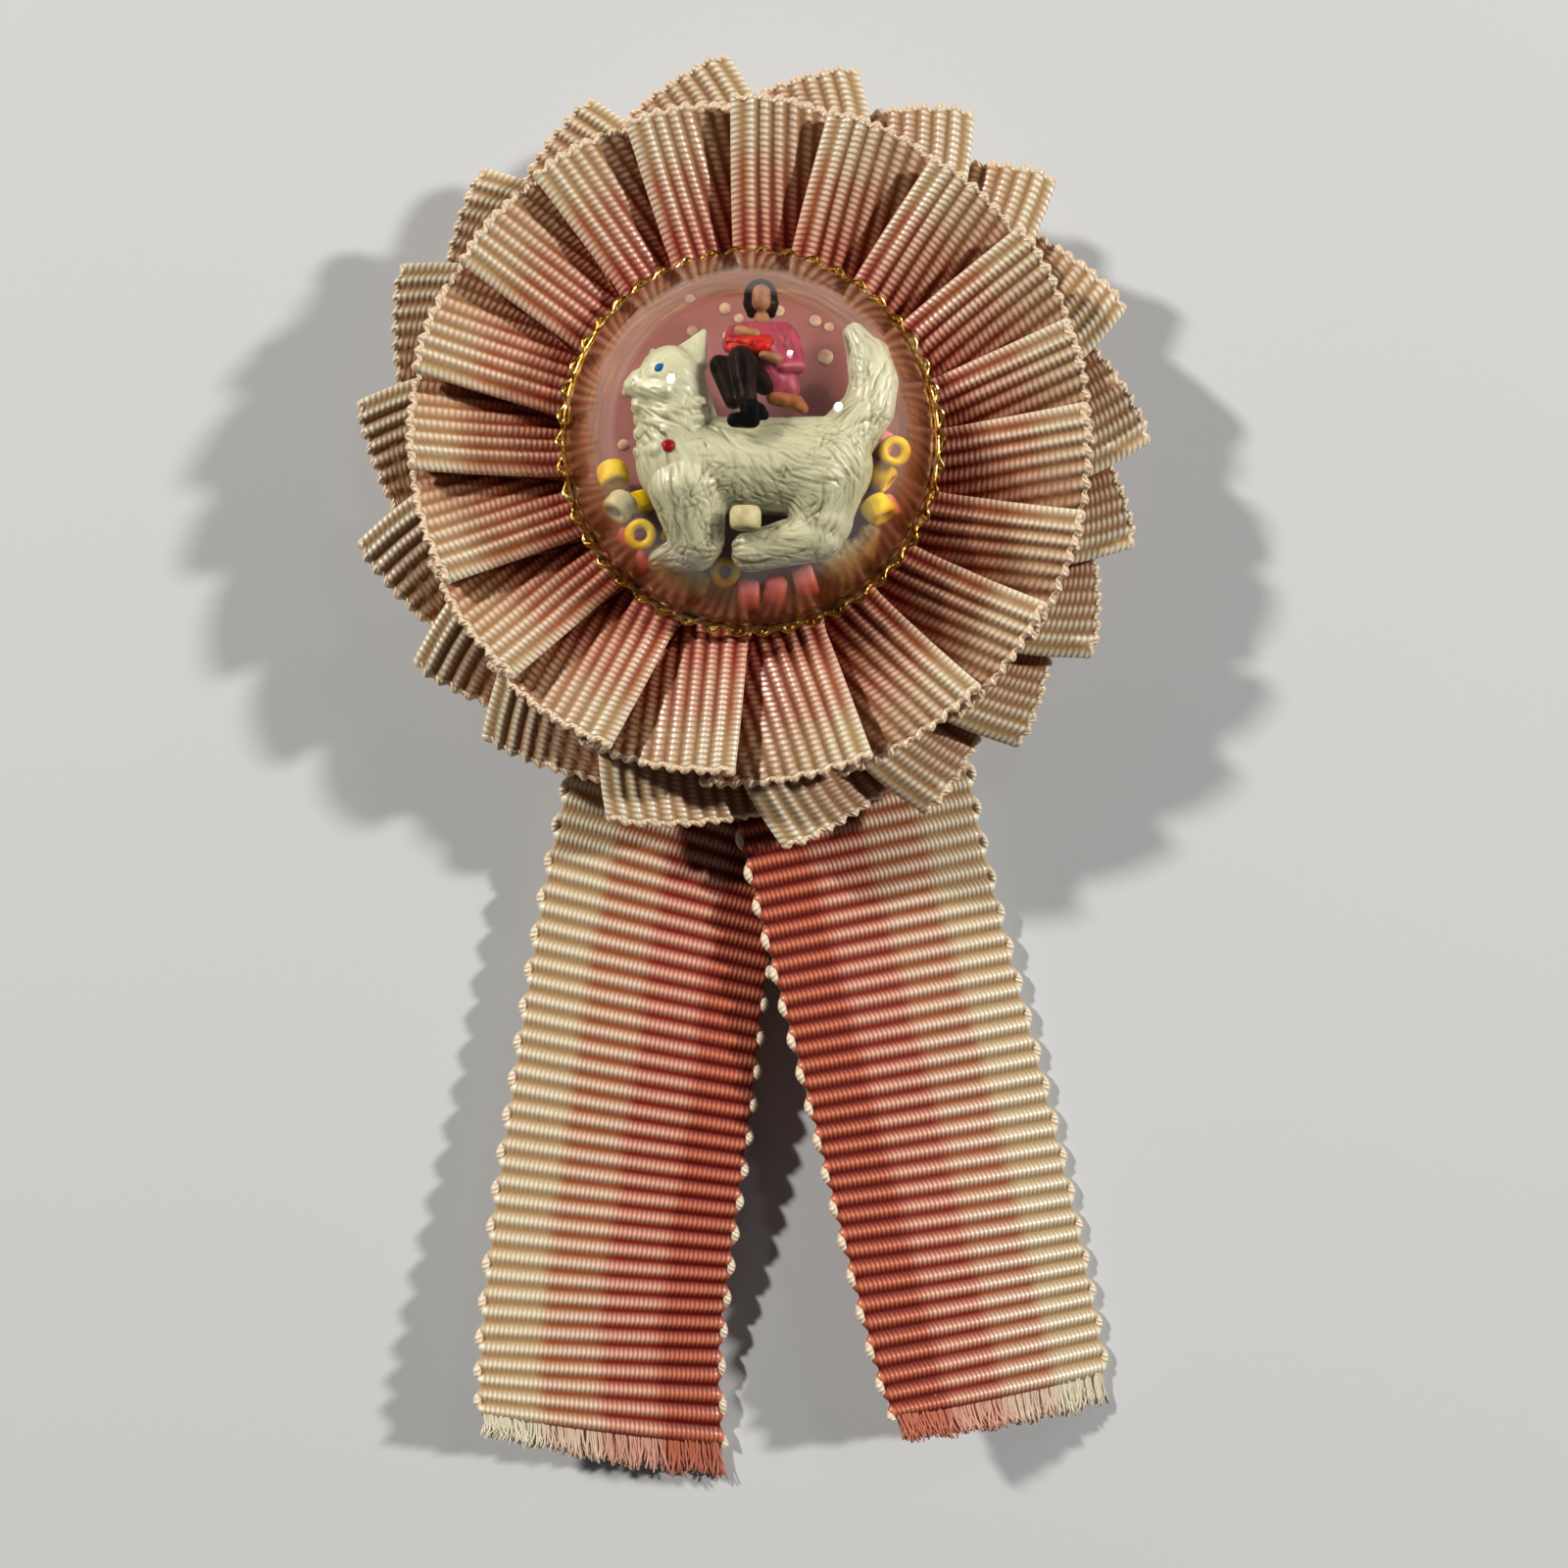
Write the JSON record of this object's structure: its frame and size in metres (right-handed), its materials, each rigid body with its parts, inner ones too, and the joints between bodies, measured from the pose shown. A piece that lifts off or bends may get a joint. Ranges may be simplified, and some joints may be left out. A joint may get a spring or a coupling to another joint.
{
  "type": "rosette brooch",
  "caption": "Pleated ribbon rosette brooch with a clear dome over a small scene, two ribbon tails, a felt backing and a bar pin.",
  "frame": {"origin": "middle of the box's footprint on the surface the brooch lies on", "axes": "+Z out of the dome, +Y from the tails' cut ends towards the top of the rosette, +X to its right seen from the front"},
  "size_m": [0.0647, 0.1216, 0.0279],
  "materials": {
    "clear_dome": "clear, glossy",
    "gold_trim": "gold paint, satin",
    "backdrop_card": "dusty mauve pink with white dots, matte",
    "cat_glaze": "ivory enamel, glossy, fur grooves toned beige",
    "rider_paint": "painted pink, brown and flesh, satin",
    "plinth_white": "white, rough, matte",
    "front_ribbon": "ribbed ribbon, coral to cream, soft sheen",
    "back_ribbon": "ribbed ribbon, cream peach, soft sheen",
    "tail_ribbon": "ribbed ribbon, cream to coral stripes, soft sheen",
    "backing_felt": "cream felt, matte",
    "pin_steel": "nickel plated, satin",
    "gold_bead": "golden yellow, glossy",
    "ivory_bead": "ivory white, glossy",
    "pink_bead": "rose pink, glossy"
  },
  "bodies": {
    "root": {"dome": "clear_dome", "gold_trim": "gold_trim", "backdrop": "backdrop_card", "cat": "cat_glaze", "rider": "rider_paint", "plinth_left": "plinth_white", "plinth_right": "plinth_white", "front_ruffle": "front_ribbon", "back_ruffle": "back_ribbon", "tail_left": "tail_ribbon", "tail_right": "tail_ribbon", "backing": "backing_felt", "brooch_pin": "pin_steel", "bead_01": "gold_bead", "bead_02": "ivory_bead", "bead_03": "gold_bead", "bead_04": "pink_bead", "bead_05": "gold_bead", "bead_06": "pink_bead", "bead_07": "gold_bead", "bead_08": "ivory_bead", "bead_09": "gold_bead", "bead_10": "pink_bead", "bead_11": "pink_bead", "bead_12": "pink_bead", "bead_13": "gold_bead", "bead_14": "gold_bead", "bead_15": "pink_bead", "bead_16": "gold_bead", "bead_17": "pink_bead"}
  },
  "joints": []
}
